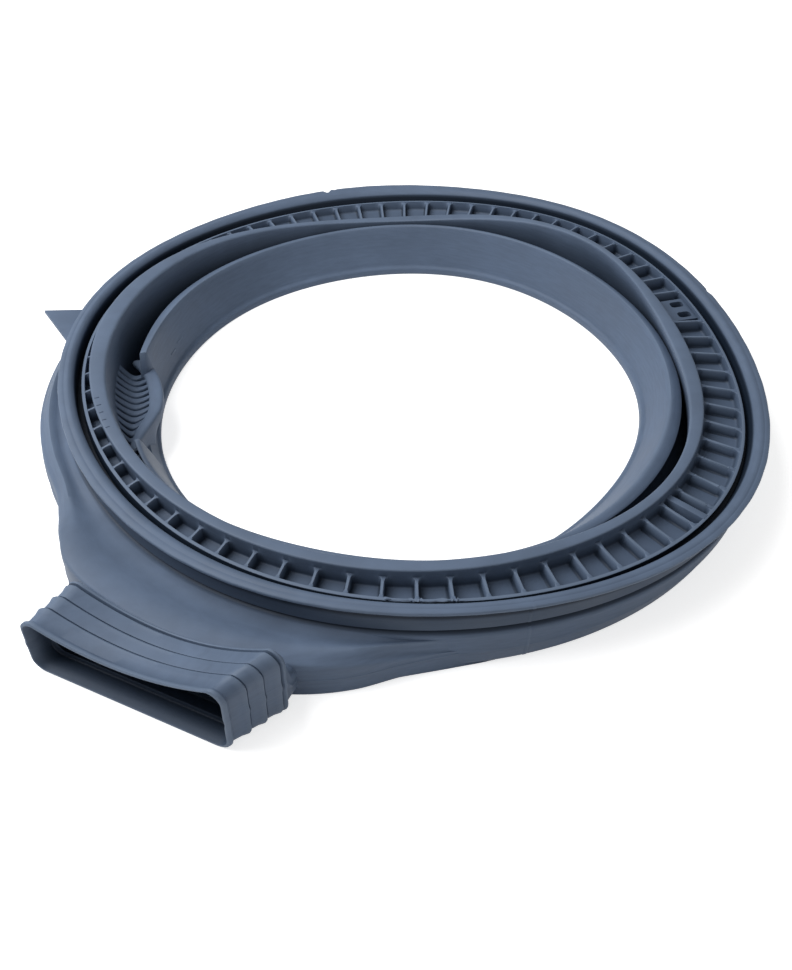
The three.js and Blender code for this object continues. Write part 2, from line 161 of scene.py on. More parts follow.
# Ragged flash on the thin wall and on the ribs: from and to in degrees, and how far it goes
WALL_FLASH_RANGE = (267.0, 279.0)
WALL_FLASH_OUT = 0.55
WALL_FLASH_UP = 0.5
RIB_FLASH_RANGE = (318.0, 333.0)
RIB_FLASH_UP = 0.45
FLASH_SEED = 11

# Air chamber outside the ring: angle, reach beyond the body, drop of its shoulder
CHAMBER_STATIONS = [
    (164, -2, 15), (172, 3.5, 16), (180, 10, 18), (192, 13.5, 21), (204, 13, 21),
    (211, 12.5, 20.5), (216, 17, 19), (221, 24, 15), (227, 30, 14), (240, 28.5, 15),
    (252, 24.5, 16), (258, 20.5, 18), (264, 14, 20.5), (270, 5.5, 24), (277, 0, 27),
    (285, -3, 29),
]
CHAMBER_TOP = -SHOULDER_SEEN + 0.4
CHAMBER_STEPS = 150
CHAMBER_CROWN = 1.5
CHAMBER_VALLEY = 0.8
CHAMBER_LEAN = 2.0
CHAMBER_WALL = 3.2

# Bellows duct: its mouth is a flat rim on a plane that stands off the body
DUCT_FACING = 246.7
DUCT_STAND_OFF = 54.5
DUCT_ROOT_STAND_OFF = 8.0
DUCT_REACH = BODY_RADIUS + DUCT_STAND_OFF
DUCT_LENGTH = DUCT_STAND_OFF - DUCT_ROOT_STAND_OFF
MOUTH_OFFSET = -22.5
REAR_OFFSET = -12.6
MOUTH_WIDTH = 100.6
REAR_WIDTH = 108.0
MOUTH_HEIGHTS = (30.5, 36.5)
REAR_HEIGHTS = (33.0, 39.0)
ROOT_HEIGHT = 15.0
MOUTH_SAG = 8.7
REAR_SAG = 13.6
ROOT_SAG = 2.0
DUCT_CORNER = 6.0
RIDGE_RISE = 1.8
RIDGE_PLACES = (11.0, 18.4, 25.8)
LAST_RIDGE = 27.2
ROOT_RUN = 7.0
CREASE_SWELL = -0.6
MOUTH_WALL = 1.7
PARTING_RIDGE = 0.45
# Points along the duct's outline: round a corner, up a side, along the floor and the top
ARC_STEPS = 6
SIDE_STEPS = 8
FLOOR_STEPS = 24
TOP_STEPS = 40

# Pointer tab on the flange
TAB_TIP_ANGLE = 174.6
TAB_REACH = 22.0
TAB_ROOT_ANGLES = (173.2, 183.8)
TAB_THICKNESS = 2.0
TAB_DROP = 0.8
TAB_OVERLAP = 2.0
TAB_ROUNDING = 0.4

# Air grille between hump and sleeve: angle, width from the hump
GRILLE_STATIONS = [
    (180.5, 11), (183, 16), (187, 21), (192, 24.2), (197, 24.4), (201, 20), (205, 13), (209, 5),
]
SLAT_COUNT = 12
SLAT_FIRST = 184.4
SLAT_PITCH = 1.98
SLAT_DEPTH = 2.8
SLAT_ROWS = 15
# A slat's section on a unit width, its top at 0
SLAT_SECTION = [
    (-0.5, -0.7), (-0.5, -0.15), (-0.3, 0), (0.3, 0), (0.5, -0.15), (0.5, -0.7), (0, -1),
]
# Along a slat from the hump to the leaf plate: place, height and width
SLAT_PROFILE = [
    (0.0, -12.0, 3.3), (0.15, -16.5, 3.6), (0.33, -20.0, 3.9), (0.5, -21.6, 4.0),
    (0.7, -21.2, 3.6), (0.86, -20.0, 3.0), (1.0, -18.8, 2.4),
]
LEAF_LEVEL = -18.4
LEAF_START = 7.6
LEAF_WALL = 2.2
LEAF_WAIST = -29.0
LEAF_FOOT = BASE + LIP_HEIGHT + 0.6
LEAF_THICKNESS = 3.4
# Short posts across the fold below the grille: angle, radius, size, height of the top
GRILLE_POSTS = [
    (210.8, 160.5, (7.0, 2.2, 9.0), -13.0), (213.2, 161.0, (7.0, 2.4, 9.0), -12.0),
    (215.6, 161.5, (6.5, 2.2, 8.0), -12.0),
]
POST_ROUNDING = 0.5
# The sleeve's gap at the grille: from, to and ramp in degrees
SLEEVE_GAP = (184.6, 209.0, 2.4)
SLEEVE_GAP_TOP = -29.0
# Marks on the hump below the grille: first angle, pitch, count; their size and stand
TICKS = (201.5, 2.0, 5)
TICK_SIZE = (2.2, 0.7, 1.0)
TICK_STAND = 0.25
# Raised bars on the sleeve's inner face: angle, height, length
SLEEVE_BARS = [(166.3, -25.5, 9.0), (170.6, -27.0, 7.0)]

SMOOTH_ANGLE = 40
MERGE_DISTANCE = 1e-3

# How dark the painted shade is at each point in the slit, the cells, the fold, the neck and the
# duct, from 0 to 1
SLIT_SHADE_START = -1.0
SLIT_SHADE_RUN = 1.4
CELL_SHADE = 0.22
RIB_SIDE_SHADE = 0.85
HUMP_SIDE_SHADE = 0.62
THIN_WALL_SHADE = 0.5
FOLD_SHADE_START = -7.0
FOLD_SHADE_RUN = 10.0
FOLD_SHADE = 0.92
DUCT_SHADE_RUN = 14
DUCT_SHADE = 0.4
LOWER_CREASE = -SHOULDER_SEEN + 1.2
# Height on the neck, and how dark the painted shade is there
NECK_SHADES = [
    (LOWER_CREASE - 1.2, 0.3), (LOWER_CREASE - 0.6, 0.75), (LOWER_CREASE, 1.0),
    (LOWER_CREASE + 1.4, 0.5), (-8.2, 0.55), (-6.6, 0.95), (-4.8, 1.0),
]

# How strongly a bend in the surface counts, on pieces and on small ones: convex edges are painted
# paler (worn edges and a painted highlight), concave creases darker (painted shade)
BEND_STRENGTH = 1.6
SMALL_PIECE_BEND_STRENGTH = 0.3
SMALL_PIECE_POINTS = 1000

# Linear colours of the rubber: its body, its paler edges (worn, and a painted highlight), the
# painted shade in its creases and the darkest painted shade in the slits and other recesses
RUBBER_COLOUR = (0.101, 0.142, 0.217, 1)
EDGE_WEAR_AND_HIGHLIGHT_COLOUR = (0.158, 0.208, 0.290, 1)
PAINTED_CREASE_SHADE_COLOUR = (0.055, 0.080, 0.125, 1)
PAINTED_DEEP_SHADE_COLOUR = (0.008, 0.017, 0.034, 1)

# Floor, world and lamp
FLOOR_SIZE = 8
FLOOR_COLOUR = (0.8, 0.8, 0.8, 1)
FLOOR_LIFT = 0.68
WORLD_STRENGTH = 0.33
KEY_PLACE = (-0.8, 0.05, 1.15)
KEY_SIZE = 1.0
KEY_POWER = 19

# Camera: place and target in the frame, millimetres; it leans a little to one side
CAMERA_PLACE = Vector((-5.7 + RING_AXIS.x, -469.6 + RING_AXIS.y, 331.8 + BODY_DEPTH))
CAMERA_TARGET = Vector((-5.7 + RING_AXIS.x, -117.6 + RING_AXIS.y, BODY_DEPTH))
CAMERA_LEAN = 1.58
FOCAL_PIXELS = 984.5
IMAGE_LONG_SIDE = 970
SENSOR = 36.0


def mix(a, b, t):
    return a + (b - a) * t


def deselect_all():
    if bpy.context.object and bpy.context.object.mode != "OBJECT":
        bpy.ops.object.mode_set(mode="OBJECT")
    bpy.ops.object.select_all(action="DESELECT")


def make_active(piece):
    """Selects a piece alone and makes it the active one."""
    deselect_all()
    piece.select_set(True)
    bpy.context.view_layer.objects.active = piece


def edit(piece):
    """Opens a piece in edit mode and gives its editable mesh."""
    make_active(piece)
    bpy.ops.object.mode_set(mode="EDIT")
    return bmesh.from_edit_mesh(piece.data)


def pick(mesh, wanted, kind="verts"):
    """Selects the vertices, edges or faces for which wanted is true, and nothing else."""
    bpy.ops.mesh.select_all(action="DESELECT")
    for part in getattr(mesh, kind):
        if wanted(part):
            part.select_set(True)
    mesh.select_flush_mode()


def close_up():
    """Merges doubles and turns the faces out, then leaves edit mode."""
    bpy.ops.mesh.select_all(action="SELECT")
    bpy.ops.mesh.remove_doubles(threshold=MERGE_DISTANCE)
    bpy.ops.mesh.normals_make_consistent(inside=False)
    bpy.ops.object.mode_set(mode="OBJECT")


def drawn_outline(name, corners):
    """A flat closed outline in the XZ plane, drawn corner by corner from a plane's middle."""
    deselect_all()
    bpy.ops.mesh.primitive_plane_add(size=1)
    piece = bpy.context.object
    piece.name = name
    bpy.ops.object.mode_set(mode="EDIT")
    bpy.ops.mesh.merge(type="CENTER")
    start = Vector((corners[0][0], 0, corners[0][1]))
    bpy.ops.transform.translate(value=start)
    for a, b in zip(corners, corners[1:]):
        step = Vector((b[0] - a[0], 0, b[1] - a[1]))
        bpy.ops.mesh.extrude_vertices_move(TRANSFORM_OT_translate={"value": step})
    bpy.ops.mesh.select_all(action="SELECT")
    bpy.ops.mesh.edge_face_add()
    return piece


def rounded_corners(piece, corners):
    """Rounds each corner of a drawn outline by its own radius, the third value of the corner."""
    mesh = bmesh.from_edit_mesh(piece.data)
    for radius in sorted({corner[2] for corner in corners if corner[2] > 0}):
        places = [Vector((x, 0, z)) for x, z, own in corners if own == radius]
        pick(mesh, lambda v: any((v.co - place).length < MERGE_DISTANCE for place in places))
        segments = 3 if radius > 0.9 else 2
        bpy.ops.mesh.bevel(
            offset=radius, offset_type="OFFSET", segments=segments, affect="VERTICES")
        mesh = bmesh.from_edit_mesh(piece.data)


def skinned(name, rings, cap_first=False, cap_last=False):
    """A skin over rings of points: a circle on the first ring, extruded to each next one."""
    deselect_all()
    bpy.ops.mesh.primitive_circle_add(vertices=len(rings[0]), fill_type="NOTHING")
    piece = bpy.context.object
    piece.name = name
    bpy.ops.object.mode_set(mode="EDIT")
    mesh = bmesh.from_edit_mesh(piece.data)
    mesh.verts.ensure_lookup_table()
    row = list(mesh.verts)
    for vert, point in zip(row, rings[0]):
        vert.co = point
    if cap_first:
        bpy.ops.mesh.edge_face_add()
    for ring in rings[1:]:
        bpy.ops.mesh.select_all(action="DESELECT")
        for a, b in zip(row, row[1:] + row[:1]):
            mesh.edges.get((a, b)).select_set(True)
        bpy.ops.mesh.extrude_edges_move()
        mesh = bmesh.from_edit_mesh(piece.data)
        row = [next(e.other_vert(v) for e in v.link_edges if e.other_vert(v).select) for v in row]
        for vert, point in zip(row, ring):
            vert.co = point
    if cap_last:
        bpy.ops.mesh.edge_face_add()
    bmesh.update_edit_mesh(piece.data)
    close_up()
    return piece


def coordinates(piece):
    co = np.zeros(len(piece.data.vertices) * 3)
    piece.data.vertices.foreach_get("co", co)
    return co.reshape(-1, 3)


def set_coordinates(piece, co):
    piece.data.vertices.foreach_set("co", co.ravel())
    piece.data.update()


def wave(parts, angle):
    total = np.zeros_like(angle)
    for order, (cosine, sine) in enumerate(parts, start=1):
        total += cosine * np.cos(order * angle) + sine * np.sin(order * angle)
    return total


def bump(place, angle):
    """One at the place's middle, nothing well outside its spread; place in degrees."""
    away = angle - math.radians(place[0])
    turn = np.arctan2(np.sin(away), np.cos(away))
    return np.exp(-(np.degrees(turn) / place[1]) ** 2)


def settled(co):
    """Points of the round ring moved to where the soft seal lies; the base stays flat."""
    x, y, z = co.T
    radius = np.maximum(np.hypot(x, y), 1.0)
    angle = np.arctan2(y, x)
    nothing = np.zeros_like(angle)
    raised = np.maximum(0, z - BASE) / BODY_DEPTH
    lean = np.maximum(0, z + HUMP_LEAN_DEPTH) / HUMP_LEAN_DEPTH
    up = np.clip((z - BASE) / (BODY_DEPTH - RIM_DROP), 0, 1)
    sag = bump(SAG_PLACE, angle)
    sleeve = mix(wave(LIP_WAVE, angle), wave(RIM_WAVE, angle), up)
    near_rim = np.clip(up * 3 - 2, 0, 1) ** 2
    roll = sum(reach * bump(place, angle) for place, reach in RIM_ROLLS) * near_rim
    sleeve = sleeve + sum(reach * bump(place, angle) for place, reach in RIM_LEANS) * up ** 2
    thin = wave(THIN_WALL_WAVE, angle) * raised
    inner = mix(SLEEVE_FOOT_INNER, RIM_INNER, up)
    outer = mix(SLEEVE_FOOT_OUTER, RIM_OUTER, up)
    knots = [
        (inner, sleeve, RIM_LIFT * sag * up),
        (outer, sleeve + roll, RIM_LIFT * sag * up - RIM_ROLL_DROP * roll / RIM_ROLL_FULL),
        (HUMP_INNER, wave(HUMP_INNER_WAVE, angle) * lean, -HUMP_SAG * sag * lean),
        (HUMP_OUTER, wave(HUMP_OUTER_WAVE, angle) * lean, -HUMP_SAG * sag * lean),
        (THIN_WALL_INNER, thin, nothing),
        (THIN_WALL_OUTER, thin, nothing),
        (FLANGE_RADIUS, wave(FLANGE_WAVE, angle) * raised,
         CURL_LIFT * bump(CURL_PLACE, angle) * raised),
    ]
    shift, lift = knots[0][1], knots[0][2]
    for (near, near_shift, near_lift), (far, far_shift, far_lift) in zip(knots, knots[1:]):
        across = np.clip((radius - near) / (far - near), 0, 1)
        shift = np.where(across > 0, mix(near_shift, far_shift, across), shift)
        lift = np.where(across > 0, mix(near_lift, far_lift, across), lift)
    fade = 1 - np.clip((radius - WAVE_FADE[0]) / (WAVE_FADE[1] - WAVE_FADE[0]), 0, 1)
    scale = (radius + shift * fade) / radius
    height = z + (wave(HEIGHT_WAVE, angle) * raised + lift) * fade
    return np.stack([x * scale, y * scale, height], axis=1)


def rib_distance(x, y):
    """Distance to the nearest rib's middle, millimetres; far away in the double cell."""
    places = (RIB_FIRST - np.degrees(np.arctan2(y, x))) / RIB_PITCH
    nearest = np.round(places)
    away = np.abs(places - nearest) * math.radians(RIB_PITCH) * np.hypot(x, y)
    return np.where(nearest % RIB_PITCHES == RIB_MISSING, NO_RIB_NEAR, away)


def mark_painted_shade(piece, painted_shade, plain):
    """Stores how dark the painted shade is at each point: down the slit, in the cells, in the fold
    and on the neck's creases.
    """
    x, y, z = coordinates(piece).T
    radius = np.hypot(x, y)

    def add(wanted, value):
        np.maximum(painted_shade, np.where(wanted, value, 0), out=painted_shade)

    # Painted shade: down the slit, on the cell floors and rib sides, on the hump and thin wall,
    # down the fold and on the neck's creases
    slit = (radius > THIN_WALL_OUTER - 0.1) & (radius < GROOVE_OUTER + 1.0)
    add(slit, np.clip((SLIT_SHADE_START - z) / SLIT_SHADE_RUN, 0, 1))
    cell = (radius > HUMP_OUTER - 0.1) & (radius < THIN_WALL_INNER + 0.05)
    cell &= z < -THIN_WALL_DROP - 1.2
    add(cell, CELL_SHADE)
    add(cell & (rib_distance(x, y) < RIB_HALF * 2), RIB_SIDE_SHADE)
    add(cell & (radius < HUMP_OUTER + 1.0), HUMP_SIDE_SHADE)
    add(cell & (radius > THIN_WALL_INNER - 0.8), THIN_WALL_SHADE)
    add(cell & (z < -CHANNEL_DROP - 0.4), 1.0)
    fold = (radius > RIM_OUTER - 0.2) & (radius < HUMP_INNER + 0.1) & (not plain)
    add(fold, np.clip((FOLD_SHADE_START - z) / FOLD_SHADE_RUN, 0, 1) * FOLD_SHADE)
    neck = (radius > NECK_RADIUS - 2.0) & (radius < NECK_RADIUS + 0.9)
    neck &= (z > -SHOULDER_SEEN - 0.5) & (z < -FLANGE_ROOT - 1.0)
    heights, shades = zip(*NECK_SHADES)
    add(neck, np.interp(z, heights, shades))
    attribute = piece.data.attributes.new("painted_shade_amount", "FLOAT", "POINT")
    attribute.data.foreach_set("value", painted_shade.astype(np.float32))


def laid_in_frame(piece, painted_shade=None, plain=False):
    """Stores a piece's painted shade, settles the piece, turns millimetres into metres and shades
    it smooth; plain pieces get no painted shade in the fold.
    """
    if painted_shade is None:
        painted_shade = np.zeros(len(piece.data.vertices))
    mark_painted_shade(piece, painted_shade, plain)
    co = settled(coordinates(piece))
    co += np.array([RING_AXIS.x, RING_AXIS.y, BODY_DEPTH])
    set_coordinates(piece, co * MM)
    make_active(piece)
    bpy.ops.object.shade_smooth_by_angle(angle=math.radians(SMOOTH_ANGLE))
    return piece


def on_ring(angle, radius, height):
    turn = math.radians(angle)
    return Vector((radius * math.cos(turn), radius * math.sin(turn), height))


# Ring

def rib_top(radius):
    """Height of a rib's top edge, which rises from the thin wall to the hump."""
    across = np.clip((THIN_WALL_INNER - radius) / CHANNEL_WIDTH, 0, 1)
    return -THIN_WALL_DROP - RIB_TOP_DROP + RIB_RISE * across


def ring_corners():
    """The ring's section: each corner's radius, height and rounding, from the outside on."""
    outer_rib = rib_top(THIN_WALL_INNER)
    inner_rib = rib_top(HUMP_OUTER)
    return [
        (BODY_RADIUS - BODY_FOOT, BASE, 0),
        (BODY_RADIUS - 0.9, BASE + BODY_FOOT, 0.8),
        (BODY_RADIUS - 0.7, BASE + PARTING_HEIGHT - 0.5, 0),
        (BODY_RADIUS + 0.1, BASE + PARTING_HEIGHT, 0),
        (BODY_RADIUS - 0.1, BASE + PARTING_HEIGHT + 0.5, 0),
        (BODY_RADIUS, -SHOULDER_SEEN - 1, 0.9),
        (NECK_RADIUS + 0.6, -SHOULDER_SEEN + 0.3, 0.3),
        (NECK_RADIUS - CREASE, -SHOULDER_SEEN + 1.2, 0.4),
        (NECK_RADIUS + 0.1, -SHOULDER_SEEN + 2.6, 0),
        (NECK_RADIUS, -FLANGE_ROOT - 5.0, 0),
        (NECK_RADIUS - 0.3, -FLANGE_ROOT - 3.4, 0),
        (NECK_RADIUS - CREASE, -FLANGE_ROOT - 1.6, 0.4),
        (FLANGE_RADIUS, -FLANGE_EDGE, 0.5),
        (FLANGE_RADIUS, 0.1, 0.6),
        (FLANGE_RADIUS - 2.6, 0.6, 0.5),
        (FLANGE_RADIUS - 3.2, 0.45, 0.3),
        (FLANGE_RADIUS - 4.6, FLANGE_CROWN - 0.2, 0.9),
        (GROOVE_OUTER + 2.6, 0.6, 1.4),
        (GROOVE_OUTER + 0.9, -1.4, 0.6),
        (GROOVE_OUTER + 0.7, -3.5, 0),
        (GROOVE_OUTER - 0.1, -GROOVE_DEPTH, 0),
        (THIN_WALL_OUTER + 0.2, -GROOVE_DEPTH, 0),
        (THIN_WALL_OUTER, -THIN_WALL_DROP, 0.5),
        (THIN_WALL_INNER, -THIN_WALL_DROP, 0),
        (THIN_WALL_INNER, outer_rib, 0),
        (THIN_WALL_INNER - 0.05, outer_rib - 0.35, 0),
        (THIN_WALL_INNER - 0.3, -CHANNEL_DROP, 1.2),
        (HUMP_OUTER + 0.6, -CHANNEL_DROP, 1.2),
        (HUMP_OUTER + 0.1, inner_rib - 0.35, 0),
        (HUMP_OUTER + 0.05, inner_rib, 0),
        (HUMP_OUTER, HUMP_RISE, 1.1),
        (HUMP_INNER, HUMP_RISE - 0.1, 1.3),
        (HUMP_INNER, -12, 0),
        (HUMP_INNER, -24, 0),
        (HUMP_INNER, FOLD_FLOOR, 0.9),
        (SLEEVE_FOOT_OUTER, FOLD_FLOOR, 0.9),
        (mix(SLEEVE_FOOT_OUTER, RIM_OUTER, 0.5), mix(FOLD_FLOOR, -RIM_DROP, 0.5), 0),
        (mix(SLEEVE_FOOT_OUTER, RIM_OUTER, 0.86), mix(FOLD_FLOOR, -RIM_DROP, 0.86), 0),
        (RIM_OUTER, -RIM_DROP, 1.0),
        (RIM_INNER, -RIM_DROP, 1.0),
        (mix(SLEEVE_FOOT_INNER, RIM_INNER, 0.85), mix(BASE + LIP_HEIGHT, -RIM_DROP, 0.85), 0),
        (mix(SLEEVE_FOOT_INNER, RIM_INNER, 0.5), mix(BASE + LIP_HEIGHT, -RIM_DROP, 0.5), 0),
        (SLEEVE_FOOT_INNER, BASE + LIP_HEIGHT, 0.9),
        (LIP_RADIUS + 0.3, BASE + LIP_HEIGHT - 1.1, 1.0),
        (LIP_RADIUS, BASE, 0.9),
        (WEB_OUTER, BASE, 0),
        (WEB_OUTER, CAVITY_CEILING, 0),
        (CAVITY_OUTER, CAVITY_CEILING, 0),
        (CAVITY_OUTER, BASE, 0),
    ]


def rib_columns():
    """Angles of the ring's columns in degrees, closer together at each rib's sides."""
    per_degree = math.radians(1) * CHANNEL_MIDDLE
    sides = [d / per_degree for d, _ in RIB_SIDE]
    offsets = sorted([-side for side in sides] + sides)
    offsets.append(RIB_PITCH / 2)
    return [RIB_FIRST - i * RIB_PITCH + offset for i in range(RIB_PITCHES) for offset in offsets]


def raised_ribs(co):
    """Lifts the channel's floor to the ribs' tops, and rounds the cells' corners."""
    x, y, z = co.T.copy()
    radius = np.hypot(x, y)
    away = rib_distance(x, y)
    steps = [0.0] + [d for d, _ in RIB_SIDE] + [NO_RIB_NEAR]
    stands = [1.0] + [stand for _, stand in RIB_SIDE] + [0.0]
    stand = np.interp(away, steps, stands)
    top = rib_top(radius)
    in_channel = (radius > HUMP_OUTER - 0.2) & (radius < THIN_WALL_INNER + 0.1)
    in_channel &= (z < top - 0.05) & (z > -CHANNEL_DROP - 0.1)
    corner = np.clip(RIB_CORNER - (away - RIB_HALF), 0, RIB_CORNER)
    inset = RIB_CORNER - np.sqrt(np.maximum(RIB_CORNER ** 2 - corner ** 2, 0))
    half = CHANNEL_WIDTH / 2
    pulled = CHANNEL_MIDDLE + (radius - CHANNEL_MIDDLE) * (half - inset) / half
    new_radius = np.where(in_channel, pulled, radius)
    new_z = np.where(in_channel, mix(z, rib_top(new_radius), stand), z)
    scale = new_radius / radius
    return np.stack([x * scale, y * scale, new_z], axis=1)


def repeated_round(piece, count):
    """Copies a piece round the ring's axis, and merges the copies into one closed ring."""
    deselect_all()
    bpy.ops.object.empty_add(rotation=(0, 0, 2 * math.pi / count))
    turn = bpy.context.object
    make_active(piece)
    bpy.ops.object.modifier_add(type="ARRAY")
    array = piece.modifiers[-1]
    array.count = count
    array.use_relative_offset = False
    array.use_object_offset = True
    array.offset_object = turn
    array.use_merge_vertices = True
    array.use_merge_vertices_cap = True
    array.merge_threshold = MERGE_DISTANCE
    bpy.ops.object.modifier_apply(modifier=array.name)
    bpy.data.objects.remove(turn)


def marked(co):
    """Nicks in the flange's edge, the seam, ragged flash, and the sleeve's gap at the grille."""
    x, y, z = co.T.copy()
    radius = np.hypot(x, y)
    angle = np.degrees(np.arctan2(y, x)) % 360
    turn = np.radians(angle)
    edge = (radius > FLANGE_RADIUS - NICK_REACH) & (z > -FLANGE_ROOT)
    coarse, fine = EDGE_RIPPLE_ORDERS
    ripple = EDGE_RIPPLE * np.sin(turn * coarse) * np.sin(turn * fine)
    moved = radius + np.where(edge, -EDGE_RIPPLE + ripple, 0)
    outward = np.clip((radius - FLANGE_RADIUS + NICK_REACH) / NICK_REACH, 0, 1)
    for place, spread, depth in FLANGE_NICKS:
        share = np.clip(1 - np.abs(angle - place) / spread, 0, 1) * outward
        moved -= np.where(edge, share * depth, 0)
    seam = (np.abs(angle - SEAM_ANGLE) < RIB_PITCH / 26) & (radius > NECK_RADIUS - 0.5)
    moved += np.where(seam, SEAM_RISE, 0)
    ragged = np.random.RandomState(FLASH_SEED).uniform(-1, 1, len(z))
    wall_top = (radius > THIN_WALL_INNER - 0.4) & (radius < THIN_WALL_OUTER + 0.3)
    wall_top &= (z > -THIN_WALL_DROP - 0.5) & (z < -1)
    wall_top &= (angle > WALL_FLASH_RANGE[0]) & (angle < WALL_FLASH_RANGE[1])
    moved += np.where(wall_top, ragged * WALL_FLASH_OUT, 0)
    rib_tops = (radius > HUMP_OUTER + 0.5) & (radius < THIN_WALL_INNER - 0.5)
    rib_tops &= z > rib_top(radius) - 0.6
    rib_tops &= (angle > RIB_FLASH_RANGE[0]) & (angle < RIB_FLASH_RANGE[1])
    z += np.where(wall_top, np.abs(ragged) * WALL_FLASH_UP, 0)
    z += np.where(rib_tops, ragged * RIB_FLASH_UP, 0)
    start, end, ramp = SLEEVE_GAP
    gap = np.clip((angle - start) / ramp + 0.5, 0, 1) * np.clip((end - angle) / ramp + 0.5, 0, 1)
    sleeve = (radius < HUMP_INNER - 1) & (z > SLEEVE_GAP_TOP)
    lowered = mix(z, SLEEVE_GAP_TOP + (z - SLEEVE_GAP_TOP) * 0.05, gap)
    z = np.where(sleeve, lowered, z)
    scale = moved / radius
    return np.stack([x * scale, y * scale, z], axis=1)


def ring():
    corners = ring_corners()
    piece = drawn_outline("ring", corners)
    rounded_corners(piece, corners)
    bpy.ops.mesh.select_all(action="SELECT")
    bpy.ops.mesh.delete(type="ONLY_FACE")
    bpy.ops.mesh.select_all(action="SELECT")
    columns = rib_columns()
    per_pitch = len(columns) // RIB_PITCHES
    bpy.ops.mesh.spin(
        steps=per_pitch, angle=math.radians(RIB_PITCH), center=(0, 0, 0), axis=(0, 0, 1))
    bpy.ops.object.mode_set(mode="OBJECT")
    repeated_round(piece, RIB_PITCHES)
    edit(piece)
    close_up()
    co = coordinates(piece)
    steps = len(columns)
    turns = np.arctan2(co[:, 1], co[:, 0]) / (2 * math.pi)
    order = np.round(turns * steps).astype(int) % steps
    angles = np.radians(np.sort(np.mod(columns, 360)))[order]
    radius = np.hypot(co[:, 0], co[:, 1])
    spread = np.stack([radius * np.cos(angles), radius * np.sin(angles), co[:, 2]], axis=1)
    set_coordinates(piece, marked(raised_ribs(spread)))
    return laid_in_frame(piece)


# Block on the ring, the thick rib and the drain block with its holes

def block(name, angle, radius, size, level, rounding):
    """A bevelled block, built on the X axis and turned to its angle; level is its top."""
    deselect_all()
    bpy.ops.mesh.primitive_cube_add(size=1)
    piece = bpy.context.object
    piece.name = name
    edit(piece)
    bpy.ops.mesh.select_all(action="SELECT")
    bpy.ops.transform.resize(value=size)
    bpy.ops.transform.translate(value=(radius, 0, level - size[2] / 2))
    bpy.ops.mesh.bevel(offset=rounding, segments=2, affect="EDGES")
    bpy.ops.object.mode_set(mode="OBJECT")
    turn_on_ring(piece, angle)
    return piece


def turn_on_ring(piece, angle):
    co = coordinates(piece)
    cosine, sine = math.cos(math.radians(angle)), math.sin(math.radians(angle))
    x, y = co[:, 0] * cosine - co[:, 1] * sine, co[:, 0] * sine + co[:, 1] * cosine
    set_coordinates(piece, np.stack([x, y, co[:, 2]], axis=1))


def thick_rib():
    level = -THIN_WALL_DROP - RIB_TOP_DROP + RIB_RISE / 2
    angle = RIB_FIRST - THICK_RIB_PLACE * RIB_PITCH
    piece = block("thick_rib", angle, CHANNEL_MIDDLE, THICK_RIB_SIZE, level, THICK_RIB_ROUNDING)
    return laid_in_frame(piece)


def drain_block():
    """A raised block in the double cell; its two holes are sunk from its top."""
    across, along, rise = DRAIN_BLOCK
    hole_across, hole_along = DRAIN_HOLE
    deselect_all()
    bpy.ops.mesh.primitive_grid_add(x_subdivisions=3, y_subdivisions=5, size=1)
    piece = bpy.context.object
    piece.name = "drain_block"
    edges_x = [
        -across / 2, DRAIN_SHIFT - hole_across / 2, DRAIN_SHIFT + hole_across / 2, across / 2,
    ]
    half_gap = DRAIN_HOLE_GAP / 2
    edges_y = [
        -along / 2, -half_gap - hole_along, -half_gap,
        half_gap, half_gap + hole_along, along / 2,
    ]
    mesh = edit(piece)
    for vert in mesh.verts:
        column = round((vert.co.x + 0.5) * 3)
        row = round((vert.co.y + 0.5) * 5)
        vert.co = (DRAIN_RADIUS + edges_x[column], edges_y[row], -CHANNEL_DROP + rise)
    holes = []
    for face in mesh.faces:
        middle = face.calc_center_median()
        in_x = abs(middle.x - DRAIN_RADIUS - DRAIN_SHIFT) < hole_across / 2
        in_y = half_gap < abs(middle.y) < half_gap + hole_along
        if in_x and in_y:
            holes.append(middle.copy())
    bpy.ops.mesh.select_mode(type="FACE")

    def on_hole(face):
        return any((face.calc_center_median() - hole).length < 0.1 for hole in holes)

    pick(mesh, on_hole, "faces")
    bpy.ops.mesh.inset(thickness=DRAIN_HOLE_LIP, use_individual=True)
    sink = (0, 0, -rise - DRAIN_HOLE_DEPTH)
    bpy.ops.mesh.extrude_region_move(TRANSFORM_OT_translate={"value": sink})
    bpy.ops.mesh.select_mode(type="EDGE")
    mesh = bmesh.from_edit_mesh(piece.data)
    pick(mesh, lambda e: abs(e.verts[0].co.z - e.verts[1].co.z) > rise, "edges")
    bpy.ops.mesh.bevel(offset=DRAIN_HOLE_ROUNDING, segments=3, affect="EDGES")
    mesh = bmesh.from_edit_mesh(piece.data)
    pick(mesh, lambda e: e.is_boundary, "edges")
    bpy.ops.mesh.extrude_edges_move(TRANSFORM_OT_translate={"value": (0, 0, -rise - 1.0)})
    bpy.ops.mesh.edge_face_add()
    bpy.ops.mesh.select_mode(type="VERT")
    close_up()
    turn_on_ring(piece, DRAIN_ANGLE)
    return laid_in_frame(piece)


# Air chamber

def between(p, u):
    """The point at share u between the middle two of four rows, on a smooth curve."""
    return 0.5 * (2 * p[1] + (p[2] - p[0]) * u + (2 * p[0] - 5 * p[1] + 4 * p[2] - p[3]) * u * u
                  + (3 * p[1] - p[0] - 3 * p[2] + p[3]) * u ** 3)


def smooth_stations(stations, count):
    """Points at even parameters on the curve through the stations, each a row of numbers."""
    rows = np.array(stations, float)
    last = len(rows) - 1
    found = []
    for t in np.linspace(0, last, count + 1):
        i = min(int(t), last - 1)
        found.append(between(rows[[max(i - 1, 0), i, i + 1, min(i + 2, last)]], t - i))
    return found


